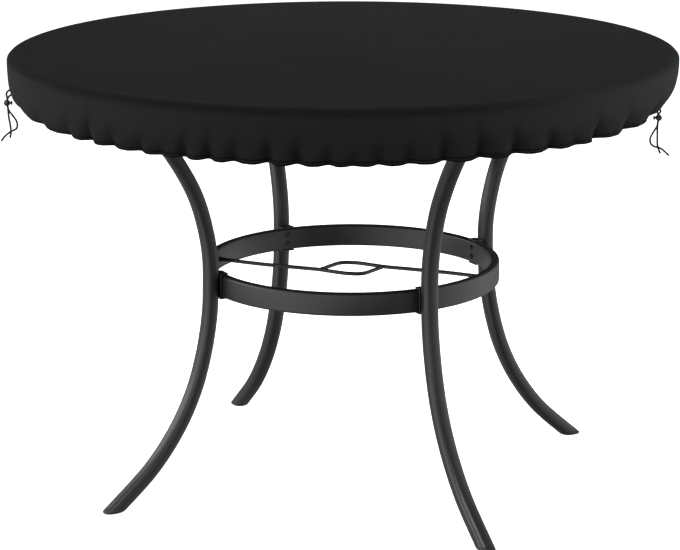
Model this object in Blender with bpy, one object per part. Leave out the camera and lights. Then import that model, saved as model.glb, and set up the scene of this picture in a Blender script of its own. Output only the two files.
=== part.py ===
"""Round patio table with a fitted cloth cover that is drawn in by a cord at its hem.

Metres, +Z up. The origin is on the floor, under the centre of the table.
Azimuths are in degrees, anticlockwise from +X seen from above.
"""
import math

import bmesh
import bpy
from mathutils import Matrix, Vector

# Gap between pieces that touch.
GAP = 0.0003

# Tabletop: a plain round slab with a rounded edge.
TABLE_RADIUS = 0.5299
TABLE_HEIGHT = 0.7120
TABLE_THICKNESS = 0.0220
TABLE_EDGE_RADIUS = 0.0070
TABLE_LOWER_EDGE = 0.0040
TABLE_SEGMENTS = 54

# Cover: top panel and skirt meet at a seam on the rounded rim.
CLOTH = 0.0016
EDGE_CLEARANCE = 0.0021
RIM_ARC_WIDTH = 0.0040
RIM_ARC_HEIGHT = 0.0060
SEAM_ANGLE = 45.0
COVER_RADIUS = TABLE_RADIUS + EDGE_CLEARANCE + CLOTH
COVER_TOP = TABLE_HEIGHT + GAP + CLOTH
COLUMNS_PER_FOLD = 4

# Skirt below the rim, each row a level of the cloth's outer face.
# inset: how far it stands inside the rim; drop: how far it is below the cover's top; cloth: its thickness
SKIRT_ROWS = (
    {"inset": 0.0008, "drop": 0.0300, "cloth": 0.0016},
    {"inset": 0.0042, "drop": 0.0500, "cloth": 0.0016},
    {"inset": 0.0118, "drop": 0.0670, "cloth": 0.0018},
    {"inset": 0.0225, "drop": 0.0795, "cloth": 0.0030},
)
# The hem's rolled edge, from its outer side round to its inner side.
HEM_ROLL = (
    {"inset": 0.0295, "drop": 0.0846},
    {"inset": 0.0326, "drop": 0.0864},
    {"inset": 0.0350, "drop": 0.0846},
    {"inset": 0.0343, "drop": 0.0816},
)
HEM_LIFT = 0.30
# What the cord does at the sides, at each drop below the cover's top: how far the skirt goes in at
# the right, more than in front, and how far it stays out at the left.
SIDE_LEVELS = (
    {"drop": 0.0000, "right_in": 0.0000, "left_out": 0.0000},
    {"drop": 0.0300, "right_in": 0.0004, "left_out": 0.0004},
    {"drop": 0.0500, "right_in": 0.0015, "left_out": 0.0020},
    {"drop": 0.0670, "right_in": 0.0045, "left_out": 0.0040},
    {"drop": 0.0795, "right_in": 0.0020, "left_out": 0.0050},
    {"drop": 0.0864, "right_in": -0.0015, "left_out": 0.0052},
)
# How much lower the hem hangs in front than at the sides, and how fast that fades sideways.
FRONT_DROP = 0.0040
FRONT_DROP_POWER = 4

# Folds of the hem that show from the front: where the cloth dips in, how deep at the hem,
# and how far up the skirt the dip reaches, as a part of the skirt's height.
FRONT_FOLDS = (
    {"azimuth": -168.0, "depth": 0.0050, "reach": 0.45},
    {"azimuth": -155.9, "depth": 0.0055, "reach": 0.50},
    {"azimuth": -145.1, "depth": 0.0055, "reach": 0.50},
    {"azimuth": -138.8, "depth": 0.0070, "reach": 0.65},
    {"azimuth": -132.9, "depth": 0.0060, "reach": 0.50},
    {"azimuth": -126.4, "depth": 0.0055, "reach": 0.45},
    {"azimuth": -122.0, "depth": 0.0030, "reach": 0.35},
    {"azimuth": -117.6, "depth": 0.0060, "reach": 0.55},
    {"azimuth": -113.0, "depth": 0.0070, "reach": 0.60},
    {"azimuth": -108.5, "depth": 0.0060, "reach": 0.50},
    {"azimuth": -102.6, "depth": 0.0080, "reach": 0.60},
    {"azimuth": -97.6, "depth": 0.0070, "reach": 0.60},
    {"azimuth": -92.4, "depth": 0.0055, "reach": 0.45},
    {"azimuth": -88.4, "depth": 0.0030, "reach": 0.35},
    {"azimuth": -84.2, "depth": 0.0055, "reach": 0.45},
    {"azimuth": -79.0, "depth": 0.0055, "reach": 0.45},
    {"azimuth": -73.0, "depth": 0.0075, "reach": 0.65},
    {"azimuth": -66.5, "depth": 0.0080, "reach": 0.65},
    {"azimuth": -59.7, "depth": 0.0080, "reach": 0.60},
    {"azimuth": -52.4, "depth": 0.0065, "reach": 0.50},
    {"azimuth": -46.8, "depth": 0.0030, "reach": 0.35},
    {"azimuth": -41.0, "depth": 0.0080, "reach": 0.60},
    {"azimuth": -31.0, "depth": 0.0070, "reach": 0.60},
    {"azimuth": -18.3, "depth": 0.0070, "reach": 0.60},
    {"azimuth": -2.5, "depth": 0.0055, "reach": 0.50},
)
# Folds behind: about the same pitch, their spacing, depth and reach uneven by these amounts.
BACK_FOLD_COUNT = 27
BACK_FOLD_DEPTH = 0.0058
BACK_FOLD_REACH = 0.52
UNEVEN_DEGREES = 1.3
UNEVEN_DEPTH = 0.0020
UNEVEN_REACH = 0.12
# The higher this power, the narrower the dips between the folds' rounded lobes.
DIP_SHARPNESS = 1.3

# The frame under the tabletop stands a little to the right of its centre and behind it.
FRAME_SHIFT = (0.0135, 0.0090)

# Legs: centre line as distance from the frame's own axis at each height.
LEG_AZIMUTHS = {"front_right": -61.9, "back_right": 28.1, "back_left": 118.1, "front_left": 208.1}
LEG_LINE = (
    {"height": -0.0300, "radius": 0.4660},
    {"height": 0.0000, "radius": 0.4330},
    {"height": 0.0600, "radius": 0.3655},
    {"height": 0.1200, "radius": 0.3188},
    {"height": 0.1800, "radius": 0.2878},
    {"height": 0.2400, "radius": 0.2690},
    {"height": 0.3000, "radius": 0.2580},
    {"height": 0.3500, "radius": 0.2550},
    {"height": 0.4000, "radius": 0.2556},
    {"height": 0.4500, "radius": 0.2640},
    {"height": 0.5000, "radius": 0.2795},
    {"height": 0.5500, "radius": 0.3060},
    {"height": 0.6000, "radius": 0.3405},
    {"height": 0.6600, "radius": 0.3872},
    {"height": 0.7200, "radius": 0.4365},
)
LEG_WIDTH = 0.0264
LEG_DEPTH = 0.0240
LEG_SQUARENESS = 2.5
LEG_SIDES = 12
LEG_RINGS = 17

# End caps on the legs.
FOOT_HEIGHT = 0.0080
FOOT_ROUNDING = 0.0032

# Flanges that fix the legs under the tabletop.
FLANGE_RADIUS = 0.0310
FLANGE_THICKNESS = 0.0040

# Hoop that ties the legs: a rounded rectangular tube.
HOOP_RADIUS = 0.2410
HOOP_DEPTH = 0.0140
HOOP_HEIGHT = 0.0365
HOOP_MIDDLE = 0.3496
HOOP_CORNER = 0.0040
HOOP_SEGMENTS = 64

# Channel saddles between the hoop and the legs: their plates reach from the hoop to the leg.
SADDLE_WIDTH = 0.0230
SADDLE_LIP = 0.0120
SADDLE_LIP_THICKNESS = 0.0024
SADDLE_BEVEL = 0.0005

# Bolt heads on the hoop's inner face.
BOLT_RADIUS = 0.0042
BOLT_HEAD = 0.0030
BOLT_DOME = 0.0012
BOLT_SPACING = 0.0150
BOLT_SIDES = 8

# Centre brace: two alike rods, each turned half a turn from the other.
BRACE_AZIMUTH = -22.0
BRACE_HEIGHT = HOOP_MIDDLE - 0.0008
ROD_RADIUS = 0.0032
# A rod's line: along the brace and across it, from the hoop to where it meets the other rod.
ROD_LINE = (
    {"along": -0.1500, "across": -0.0290},
    {"along": -0.0800, "across": -0.0285},
    {"along": -0.0500, "across": -0.0280},
    {"along": -0.0300, "across": -0.0310},
    {"along": 0.0000, "across": -0.0358},
    {"along": 0.0135, "across": -0.0345},
    {"along": 0.0250, "across": -0.0310},
    {"along": 0.0330, "across": -0.0215},
    {"along": 0.0375, "across": -0.0040},
    {"along": 0.0405, "across": 0.0100},
    {"along": 0.0417, "across": 0.0245},
)
ROD_OFFSET = 0.0230
ROD_POINTS = 22

# Drawstring and cord locks.
CORD_DIAMETER = 0.0024
CORD_STEP = 0.0050
LOCK_BALL_RADIUS = 0.0052
LOCK_BALL_SHIFT = 0.0009
LOCK_SLOT_LENGTH = 0.0068
LOCK_SLOT_WIDTH = 0.0038
BUTTON_RADIUS = 0.0032
BUTTON_STEM_RADIUS = 0.0017
BUTTON_STEM = 0.0006
BUTTON_HEAD = 0.0026
# Where the strands go through each lock.
LOCKS = {
    "left": {"place": (-0.5300, -0.0690, 0.6385), "inward": 1.0},
    "right": {"place": (0.4960, -0.0863, 0.6155), "inward": -1.0},
}
# Routes of the strands, in millimetres from that place: right, away from the front, up.
CORD_ROUTES = {
    "left_straight": (
        (4.3, 2.6, 20.2),
        (1.9, 2.3, 19.1),
        (-1.3, 1.8, 15.0),
        (-0.9, 1.6, 10.0),
        (0.0, 1.5, 5.5),
        (0.0, 1.5, 0.0),
        (0.0, 1.5, -5.5),
        (0.5, 1.6, -13.9),
        (1.1, 2.0, -23.7),
        (2.7, 2.6, -35.0),
        (3.5, 3.2, -44.7),
        (3.1, 3.0, -51.2),
        (1.6, 2.6, -56.9),
    ),
    "left_curved": (
        (6.8, -3.4, 14.0),
        (5.3, -3.5, 12.9),
        (1.9, -2.2, 9.2),
        (0.1, -1.5, 5.5),
        (0.0, -1.5, 0.0),
        (0.1, -1.5, -5.5),
        (2.7, -1.5, -13.1),
        (8.0, -1.4, -20.4),
        (12.8, -1.2, -27.7),
        (14.6, -1.0, -35.0),
        (12.4, -0.8, -41.5),
        (4.1, -0.6, -45.7),
        (-1.7, -0.8, -49.9),
        (-7.4, -1.2, -55.2),
        (-11.8, -1.6, -61.4),
    ),
    "right_straight": (
        (-2.9, 1.8, 11.0),
        (-1.5, 1.7, 8.4),
        (-0.1, 1.5, 5.5),
        (0.0, 1.5, 0.0),
        (-0.2, 1.5, -5.5),
        (-0.6, 1.6, -16.2),
        (-0.3, 2.2, -28.4),
        (0.0, 3.0, -41.5),
        (1.4, 3.4, -48.1),
        (3.0, 3.2, -53.0),
        (5.4, 3.0, -58.3),
    ),
    "right_curved": (
        (2.1, -2.2, 13.5),
        (3.4, -2.1, 11.0),
        (2.8, -1.9, 9.2),
        (1.2, -1.6, 7.4),
        (0.1, -1.5, 5.6),
        (0.0, -1.5, 0.0),
        (-0.2, -1.5, -5.5),
        (-1.7, -1.5, -13.3),
        (-5.8, -1.4, -20.4),
        (-9.9, -1.2, -27.7),
        (-12.0, -1.0, -34.3),
        (-10.9, -0.8, -41.0),
        (-6.5, -0.6, -45.2),
        (0.0, -0.4, -47.6),
        (5.4, -0.4, -49.1),
        (11.7, -0.8, -54.1),
        (18.7, -1.2, -60.8),
    ),
}

# Colour, roughness and metallic value of each material.
MATERIALS = {
    "cloth": {"colour": (0.014, 0.014, 0.015), "roughness": 0.75, "metallic": 0.0},
    "cord": {"colour": (0.010, 0.010, 0.010), "roughness": 0.80, "metallic": 0.0},
    "lock_plastic": {"colour": (0.012, 0.012, 0.012), "roughness": 0.40, "metallic": 0.0},
    "frame_metal": {"colour": (0.030, 0.030, 0.031), "roughness": 0.45, "metallic": 0.3},
    "tabletop": {"colour": (0.035, 0.035, 0.036), "roughness": 0.50, "metallic": 0.2},
    "foot_plastic": {"colour": (0.012, 0.012, 0.012), "roughness": 0.60, "metallic": 0.0},
    "bolt_steel": {"colour": (0.020, 0.020, 0.020), "roughness": 0.40, "metallic": 0.8},
}

SMOOTH_ANGLE = 35.0


# ---------------------------------------------------------------- helpers

def clear_scene():
    for item in list(bpy.data.objects):
        bpy.data.objects.remove(item, do_unlink=True)


def make_material(name):
    looks = MATERIALS[name]
    material = bpy.data.materials.new(name)
    material.use_nodes = True
    shader = material.node_tree.nodes["Principled BSDF"]
    shader.inputs["Base Color"].default_value = (*looks["colour"], 1.0)
    shader.inputs["Roughness"].default_value = looks["roughness"]
    shader.inputs["Metallic"].default_value = looks["metallic"]
    return material


def add_object(name, data, material, placement=None):
    data.materials.append(material)
    item = bpy.data.objects.new(name, data)
    bpy.context.scene.collection.objects.link(item)
    if placement is not None:
        item.matrix_world = placement
    return item


def finish_mesh(name, shape, material, placement=None):
    """Turn a bmesh into an object with faces pointing out and round parts shaded smooth."""
    bmesh.ops.recalc_face_normals(shape, faces=shape.faces)
    mesh = bpy.data.meshes.new(name)
    shape.to_mesh(mesh)
    shape.free()
    mesh.shade_smooth()
    mesh.set_sharp_from_angle(angle=math.radians(SMOOTH_ANGLE))
    return add_object(name, mesh, material, placement)


def bridge(shape, lower, upper):
    """Join two rings of vertices of the same count; a ring of one vertex is a point."""
    count = max(len(lower), len(upper))
    for i in range(count):
        j = (i + 1) % count
        below = (lower[i % len(lower)], lower[j % len(lower)])
        above = (upper[j % len(upper)], upper[i % len(upper)])
        face = []
        for corner in (*below, *above):
            if corner not in face:
                face.append(corner)
        shape.faces.new(face)


def turn(name, profile, angles, material, placement=None, shift=None):
    """Turn a profile of (radius, height) points about Z; a point on the axis closes the shape."""
    shape = bmesh.new()
    rings = []
    for row, (radius, height) in enumerate(profile):
        ring = []
        for column, angle in enumerate(angles if radius > 0 else angles[:1]):
            inward, lift = shift(row, column) if shift else (0.0, 0.0)
            reach = radius - inward
            ring.append(shape.verts.new((reach * math.cos(angle), reach * math.sin(angle), height + lift)))
        rings.append(ring)
    for lower, upper in zip(rings, rings[1:]):
        bridge(shape, lower, upper)
    if profile[0][0] > 0:
        bridge(shape, rings[-1], rings[0])
    return finish_mesh(name, shape, material, placement)


def even_angles(count, start=0.0):
    return [start + 2 * math.pi * i / count for i in range(count)]


def smooth_points(route, count):
    """Read count points, evenly apart, from a smooth curve through the route's own points."""
    knots = [Vector(point) for point in route]
    before = knots[0] * 2 - knots[1]
    after = knots[-1] * 2 - knots[-2]
    padded = [before, *knots, after]
    fine = []
    for i in range(1, len(padded) - 2):
        p0, p1, p2, p3 = padded[i - 1:i + 3]
        for step in range(16):
            t = step / 16
            fine.append(0.5 * ((2 * p1) + (p2 - p0) * t + (2 * p0 - 5 * p1 + 4 * p2 - p3) * t ** 2
                               + (3 * p1 - p0 - 3 * p2 + p3) * t ** 3))
    fine.append(knots[-1])
    travelled = [0.0]
    for a, b in zip(fine, fine[1:]):
        travelled.append(travelled[-1] + (b - a).length)
    points = []
    segment = 0
    for k in range(count):
        target = travelled[-1] * k / (count - 1)
        while segment < len(fine) - 2 and travelled[segment + 1] < target:
            segment += 1
        part = (target - travelled[segment]) / (travelled[segment + 1] - travelled[segment])
        points.append(fine[segment].lerp(fine[segment + 1], part))
    return points


def tube(name, points, radius, sides_setting, material):
    """A round rod or cord along a line of points, with filled ends."""
    curve = bpy.data.curves.new(name, "CURVE")
    curve.dimensions = "3D"
    spline = curve.splines.new("POLY")
    spline.points.add(len(points) - 1)
    for target, point in zip(spline.points, points):
        target.co = (*point, 1.0)
    curve.bevel_depth = radius
    curve.bevel_resolution = sides_setting
    curve.use_fill_caps = True
    return add_object(name, curve, material)


def frame_turn(azimuth):
    """Placement at the frame's own axis, turned so that X points along the azimuth."""
    shift = Matrix.Translation((*FRAME_SHIFT, 0.0))
    return shift @ Matrix.Rotation(math.radians(azimuth), 4, "Z")


def facing(azimuth, radius, height):
    """Placement on the frame whose X axis points away from the frame's own axis."""
    return frame_turn(azimuth) @ Matrix.Translation((radius, 0.0, height))


# ---------------------------------------------------------------- cover

def all_folds():
    """The front folds and, behind, folds of about the same pitch with uneven spacing and depth."""
    folds = [dict(fold) for fold in FRONT_FOLDS]
    start = folds[-1]["azimuth"]
    span = folds[0]["azimuth"] + 360.0 - start
    for k in range(BACK_FOLD_COUNT):
        folds.append({
            "azimuth": start + span * (k + 1) / (BACK_FOLD_COUNT + 1) + UNEVEN_DEGREES * math.sin(2.4 * k),
            "depth": BACK_FOLD_DEPTH + UNEVEN_DEPTH * math.sin(1.7 * k + 0.6),
            "reach": BACK_FOLD_REACH + UNEVEN_REACH * math.sin(2.1 * k),
        })
    return folds


def skirt_columns():
    """Columns of the skirt: one on each fold's dip and the rest evenly up to the next dip."""
    folds = all_folds()
    columns = []
    for i, fold in enumerate(folds):
        following = folds[(i + 1) % len(folds)]
        width = (following["azimuth"] - fold["azimuth"]) % 360.0
        for step in range(COLUMNS_PER_FOLD):
            part = step / COLUMNS_PER_FOLD
            closeness = (0.5 + 0.5 * math.cos(2 * math.pi * part)) ** DIP_SHARPNESS
            depth = fold["depth"] + (following["depth"] - fold["depth"]) * part
            columns.append({
                "angle": math.radians(fold["azimuth"] + width * part),
                "depth": depth * closeness,
                "reach": fold["reach"] + (following["reach"] - fold["reach"]) * part,
            })
    return columns


def rim_arc(inward, first, last, count):
    """Points of the rounded rim's arc, from angle first to angle last above the horizontal."""
    centre_radius = COVER_RADIUS - RIM_ARC_WIDTH
    centre_height = COVER_TOP - RIM_ARC_HEIGHT
    points = []
    for i in range(count):
        angle = math.radians(first + (last - first) * i / (count - 1))
        radius = centre_radius + (RIM_ARC_WIDTH - inward) * math.cos(angle)
        points.append((radius, centre_height + (RIM_ARC_HEIGHT - inward) * math.sin(angle)))
    return points


def make_cover_top(columns, material):
    half_gap = math.degrees(GAP / 2 / RIM_ARC_WIDTH)
    edge = SEAM_ANGLE + half_gap
    outer = rim_arc(0.0, 90.0, edge, 3)
    inner = rim_arc(CLOTH, edge, 90.0, 3)
    profile = [(0.0, COVER_TOP), *outer, *inner, (0.0, COVER_TOP - CLOTH)]
    return turn("cover_top", profile, [column["angle"] for column in columns], material)


def skirt_profile():
    """The skirt's closed profile and, for each point, how far down the skirt it is, from 0 to 1."""
    half_gap = math.degrees(GAP / 2 / RIM_ARC_WIDTH)
    edge = SEAM_ANGLE - half_gap
    outer = rim_arc(0.0, edge, 0.0, 3)
    rows = [(COVER_RADIUS - row["inset"], COVER_TOP - row["drop"]) for row in SKIRT_ROWS]
    roll = [(COVER_RADIUS - row["inset"], COVER_TOP - row["drop"]) for row in HEM_ROLL]
    inner = []
    line = [outer[-1], *rows, roll[0]]
    for k in range(len(rows), 0, -1):
        along = Vector(line[k + 1]) - Vector(line[k - 1])
        outward = Vector((-along.y, along.x)).normalized()
        point = Vector(line[k]) - outward * SKIRT_ROWS[k - 1]["cloth"]
        inner.append((point.x, point.y))
    inner_arc = rim_arc(CLOTH, 0.0, edge, 3)
    profile = [*outer, *rows, *roll, *inner, *inner_arc]
    lowest = min(height for _, height in profile)
    highest = max(height for _, height in profile)
    levels = [(highest - height) / (highest - lowest) for _, height in profile]
    return profile, levels


def side_level(drop):
    """How far in at the right and out at the left the skirt is, at a drop below the cover's top."""
    for upper, lower in zip(SIDE_LEVELS, SIDE_LEVELS[1:]):
        if drop <= lower["drop"]:
            break
    part = (drop - upper["drop"]) / (lower["drop"] - upper["drop"])
    return tuple(upper[key] + (lower[key] - upper[key]) * part for key in ("right_in", "left_out"))


def make_cover_skirt(columns, material):
    profile, levels = skirt_profile()

    def fold_shift(row, column):
        """How far the folds and the cord's pull move a point in, and how far they lift it."""
        entry = columns[column]
        reach = entry["reach"]
        part = min(max((levels[row] - (1.0 - reach)) / reach, 0.0), 1.0)
        fade = part * part * (3.0 - 2.0 * part)
        inward = entry["depth"] * fade
        right_in, left_out = side_level(COVER_TOP - profile[row][1])
        sideways = math.cos(entry["angle"])
        pull = (right_in if sideways > 0 else -left_out) * sideways ** 2
        front = max(-math.sin(entry["angle"]), 0.0) ** FRONT_DROP_POWER
        return inward + pull, inward * HEM_LIFT - FRONT_DROP * front * levels[row]

    return turn("cover_skirt", profile, [column["angle"] for column in columns], material, shift=fold_shift)


# ---------------------------------------------------------------- drawstring

def make_drawstring(side, cord_material, lock_material):
    place = Vector(LOCKS[side]["place"])
    inward = LOCKS[side]["inward"]
    for kind in ("straight", "curved"):
        route = [place + Vector(point) * 0.001 for point in CORD_ROUTES[side + "_" + kind]]
        length = sum((b - a).length for a, b in zip(route, route[1:]))
        points = smooth_points(route, round(length / CORD_STEP) + 1)
        tube("drawstring_" + side + "_" + kind, points, CORD_DIAMETER / 2, 2, cord_material)

    ball_centre = place - Vector((inward * LOCK_BALL_SHIFT, 0.0, 0.0))
    slot = bmesh.new()
    bmesh.ops.create_cube(slot, size=1.0)
    slot_size = (LOCK_SLOT_WIDTH, LOCK_SLOT_LENGTH, LOCK_BALL_RADIUS * 4)
    bmesh.ops.scale(slot, vec=slot_size, verts=slot.verts)
    upright = [edge for edge in slot.edges if abs(edge.verts[0].co.z - edge.verts[1].co.z) > LOCK_BALL_RADIUS]
    bmesh.ops.bevel(slot, geom=upright, offset=LOCK_SLOT_WIDTH * 0.25, segments=1, affect="EDGES")
    cutter = finish_mesh("slot_cutter_" + side, slot, lock_material, Matrix.Translation(place))
    cutter.hide_render = True
    cutter.display_type = "WIRE"

    ball = bmesh.new()
    bmesh.ops.create_uvsphere(ball, u_segments=16, v_segments=10, radius=LOCK_BALL_RADIUS)
    along_x = Matrix.Rotation(math.radians(90.0), 4, "Y")
    body = finish_mesh("lock_body_" + side, ball, lock_material, Matrix.Translation(ball_centre) @ along_x)
    cut = body.modifiers.new("slot", "BOOLEAN")
    cut.operation = "DIFFERENCE"
    cut.solver = "EXACT"
    cut.object = cutter

    profile = (
        (0.0, 0.0),
        (BUTTON_STEM_RADIUS, 0.0),
        (BUTTON_STEM_RADIUS, BUTTON_STEM),
        (BUTTON_RADIUS, BUTTON_STEM),
        (BUTTON_RADIUS, BUTTON_STEM + BUTTON_HEAD * 0.6),
        (BUTTON_RADIUS * 0.75, BUTTON_STEM + BUTTON_HEAD),
        (0.0, BUTTON_STEM + BUTTON_HEAD),
    )
    start = ball_centre + Vector((inward * (LOCK_BALL_RADIUS + GAP), 0.0, 0.0))
    towards = Matrix.Rotation(math.radians(90.0 * inward), 4, "Y")
    placement = Matrix.Translation(start) @ towards
    turn("lock_button_" + side, profile, even_angles(12), lock_material, placement)


# ---------------------------------------------------------------- table

def make_table_top(material):
    top = TABLE_HEIGHT
    bottom = TABLE_HEIGHT - TABLE_THICKNESS
    profile = [(0.0, top)]
    for angle in (90.0, 60.0, 30.0, 0.0):
        turned = math.radians(angle)
        radius = TABLE_RADIUS - TABLE_EDGE_RADIUS * (1.0 - math.cos(turned))
        profile.append((radius, top - TABLE_EDGE_RADIUS * (1.0 - math.sin(turned))))
    profile.append((TABLE_RADIUS, bottom + TABLE_LOWER_EDGE))
    profile.append((TABLE_RADIUS - TABLE_LOWER_EDGE, bottom))
    profile.append((0.0, bottom))
    return turn("table_top", profile, even_angles(TABLE_SEGMENTS), material)


def leg_line():
    """The leg's centre line in its own upright plane, as dense points (radius, height)."""
    route = [(point["radius"], 0.0, point["height"]) for point in LEG_LINE]
    return [(point.x, point.z) for point in smooth_points(route, 240)]


def leg_place(line, height):
    """Radius and slope of the leg's centre line at a height."""
    for (r0, z0), (r1, z1) in zip(line, line[1:]):
        if z0 <= height <= z1:
            part = (height - z0) / (z1 - z0)
            return r0 + (r1 - r0) * part, (r1 - r0) / (z1 - z0)
    raise ValueError("height is off the leg")


def leg_section(scale):
    """Rounded-square section of the leg's tube, as (across, outward) offsets."""
    power = 2.0 / LEG_SQUARENESS
    points = []
    for i in range(LEG_SIDES):
        angle = 2 * math.pi * (i + 0.5) / LEG_SIDES
        across = math.copysign(abs(math.cos(angle)) ** power, math.cos(angle)) * LEG_WIDTH / 2
        outward = math.copysign(abs(math.sin(angle)) ** power, math.sin(angle)) * LEG_DEPTH / 2
        points.append((across * scale, outward * scale))
    return points


def leg_ring(shape, line, height, level, inset=0.0):
    """One ring of the leg's tube; a level ring is the tube's cut by a horizontal plane."""
    radius, slope = leg_place(line, height)
    size = math.hypot(1.0, slope)
    scale = 1.0 - 2.0 * inset / LEG_DEPTH
    ring = []
    for across, outward in leg_section(scale):
        if level:
            place = (radius + outward * size, across, height)
        else:
            place = (radius + outward / size, across, height - outward * slope / size)
        ring.append(shape.verts.new(place))
    return ring


def close_tube(shape, rings):
    for lower, upper in zip(rings, rings[1:]):
        bridge(shape, lower, upper)
    shape.faces.new(rings[0])
    shape.faces.new(rings[-1])


def make_leg(name, azimuth, line, metal, plastic):
    turned = frame_turn(azimuth)
    bottom = FOOT_HEIGHT
    top = TABLE_HEIGHT - TABLE_THICKNESS - GAP - FLANGE_THICKNESS - GAP
    level_zone = LEG_DEPTH * 0.9
    shape = bmesh.new()
    rings = [leg_ring(shape, line, bottom, True)]
    first = bottom + level_zone
    last = top - level_zone
    for i in range(LEG_RINGS - 2):
        height = first + (last - first) * i / (LEG_RINGS - 3)
        rings.append(leg_ring(shape, line, height, False))
    rings.append(leg_ring(shape, line, top, True))
    close_tube(shape, rings)
    finish_mesh("leg_" + name, shape, metal, turned)

    shape = bmesh.new()
    rings = [
        leg_ring(shape, line, 0.0, True, inset=FOOT_ROUNDING),
        leg_ring(shape, line, FOOT_ROUNDING * 0.4, True, inset=FOOT_ROUNDING * 0.35),
        leg_ring(shape, line, FOOT_ROUNDING, True),
        leg_ring(shape, line, FOOT_HEIGHT - GAP, True),
    ]
    close_tube(shape, rings)
    finish_mesh("foot_" + name, shape, plastic, turned)

    radius, _ = leg_place(line, top)
    flange = [(0.0, 0.0), (FLANGE_RADIUS, 0.0), (FLANGE_RADIUS, FLANGE_THICKNESS), (0.0, FLANGE_THICKNESS)]
    turn("flange_" + name, flange, even_angles(24), metal, facing(azimuth, radius, top + GAP))


def make_hoop(material):
    outer = HOOP_RADIUS
    inner = HOOP_RADIUS - HOOP_DEPTH
    top = HOOP_MIDDLE + HOOP_HEIGHT / 2
    bottom = HOOP_MIDDLE - HOOP_HEIGHT / 2
    corner = HOOP_CORNER
    profile = []
    for radius, height, first in (
        (outer - corner, top - corner, 0.0),
        (inner + corner, top - corner, 90.0),
        (inner + corner, bottom + corner, 180.0),
        (outer - corner, bottom + corner, 270.0),
    ):
        for step in (0.0, 45.0, 90.0):
            angle = math.radians(first + step)
            profile.append((radius + corner * math.cos(angle), height + corner * math.sin(angle)))
    half_facet = math.pi / HOOP_SEGMENTS
    start = math.radians(LEG_AZIMUTHS["front_right"]) + half_facet
    return turn("ring_hoop", profile, even_angles(HOOP_SEGMENTS, start), material, frame_turn(0.0))


def make_saddle(name, azimuth, line, metal, steel):
    """A channel that the hoop sits in, and two bolt heads on the hoop's inner face."""
    half = HOOP_HEIGHT / 2 + GAP
    narrowest = min(radius for radius, _ in line)
    leg_face = narrowest - max(outward for _, outward in leg_section(1.0))
    plate_in = GAP
    plate_out = leg_face - GAP - HOOP_RADIUS
    lip = SADDLE_LIP_THICKNESS
    outline = (
        (plate_out, half + lip),
        (-SADDLE_LIP, half + lip),
        (-SADDLE_LIP, half),
        (plate_in, half),
        (plate_in, -half),
        (-SADDLE_LIP, -half),
        (-SADDLE_LIP, -half - lip),
        (plate_out, -half - lip),
    )
    shape = bmesh.new()
    corners = [shape.verts.new((x, -SADDLE_WIDTH / 2, z)) for x, z in outline]
    face = shape.faces.new(corners)
    grown = bmesh.ops.extrude_face_region(shape, geom=[face])
    moved = [item for item in grown["geom"] if isinstance(item, bmesh.types.BMVert)]
    bmesh.ops.translate(shape, vec=(0.0, SADDLE_WIDTH, 0.0), verts=moved)
    saddle = finish_mesh("saddle_" + name, shape, metal, facing(azimuth, HOOP_RADIUS, HOOP_MIDDLE))
    bevel = saddle.modifiers.new("edges", "BEVEL")
    bevel.width = SADDLE_BEVEL
    bevel.segments = 1
    bevel.limit_method = "ANGLE"

    facet = math.cos(math.pi / HOOP_SEGMENTS)
    seat = (HOOP_RADIUS - HOOP_DEPTH) * facet - GAP
    head = ((0.0, 0.0), (BOLT_RADIUS, 0.0), (BOLT_RADIUS, BOLT_HEAD - BOLT_DOME),
            (BOLT_RADIUS * 0.6, BOLT_HEAD), (0.0, BOLT_HEAD))
    inward = Matrix.Rotation(math.radians(-90.0), 4, "Y")
    for level, side in (("upper", 0.5), ("lower", -0.5)):
        place = facing(azimuth, seat, HOOP_MIDDLE + side * BOLT_SPACING) @ inward
        turn("bolt_" + name + "_" + level, head, even_angles(BOLT_SIDES), steel, place)


def make_brace(material):
    """Two rods from the hoop's inner face, each bent over to meet the other."""
    wall = (HOOP_RADIUS - HOOP_DEPTH) * math.cos(math.pi / HOOP_SEGMENTS)
    reach = math.sqrt(wall ** 2 - (ROD_OFFSET + ROD_RADIUS) ** 2) - GAP
    for name, half_turn in (("brace_rod_a", 0.0), ("brace_rod_b", 180.0)):
        route = [(-reach, -ROD_OFFSET, 0.0)]
        for point in ROD_LINE:
            route.append((point["along"], point["across"], 0.0))
        placement = facing(BRACE_AZIMUTH + half_turn, 0.0, BRACE_HEIGHT)
        points = [placement @ point for point in smooth_points(route, ROD_POINTS)]
        tube(name, points, ROD_RADIUS, 2, material)


# ---------------------------------------------------------------- build

def main():
    clear_scene()
    materials = {name: make_material(name) for name in MATERIALS}
    columns = skirt_columns()
    make_cover_top(columns, materials["cloth"])
    make_cover_skirt(columns, materials["cloth"])
    for side in LOCKS:
        make_drawstring(side, materials["cord"], materials["lock_plastic"])
    make_table_top(materials["tabletop"])
    line = leg_line()
    for name, azimuth in LEG_AZIMUTHS.items():
        make_leg(name, azimuth, line, materials["frame_metal"], materials["foot_plastic"])
        make_saddle(name, azimuth, line, materials["frame_metal"], materials["bolt_steel"])
    make_hoop(materials["frame_metal"])
    make_brace(materials["frame_metal"])


main()
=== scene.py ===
"""Looks of a round patio table with a fitted cloth cover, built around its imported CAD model.

Metres, +Z up. Azimuths are in degrees, anticlockwise from +X seen from above.
"""

import math

import bmesh
import bpy
import numpy as np
from mathutils import Matrix, Vector


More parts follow.
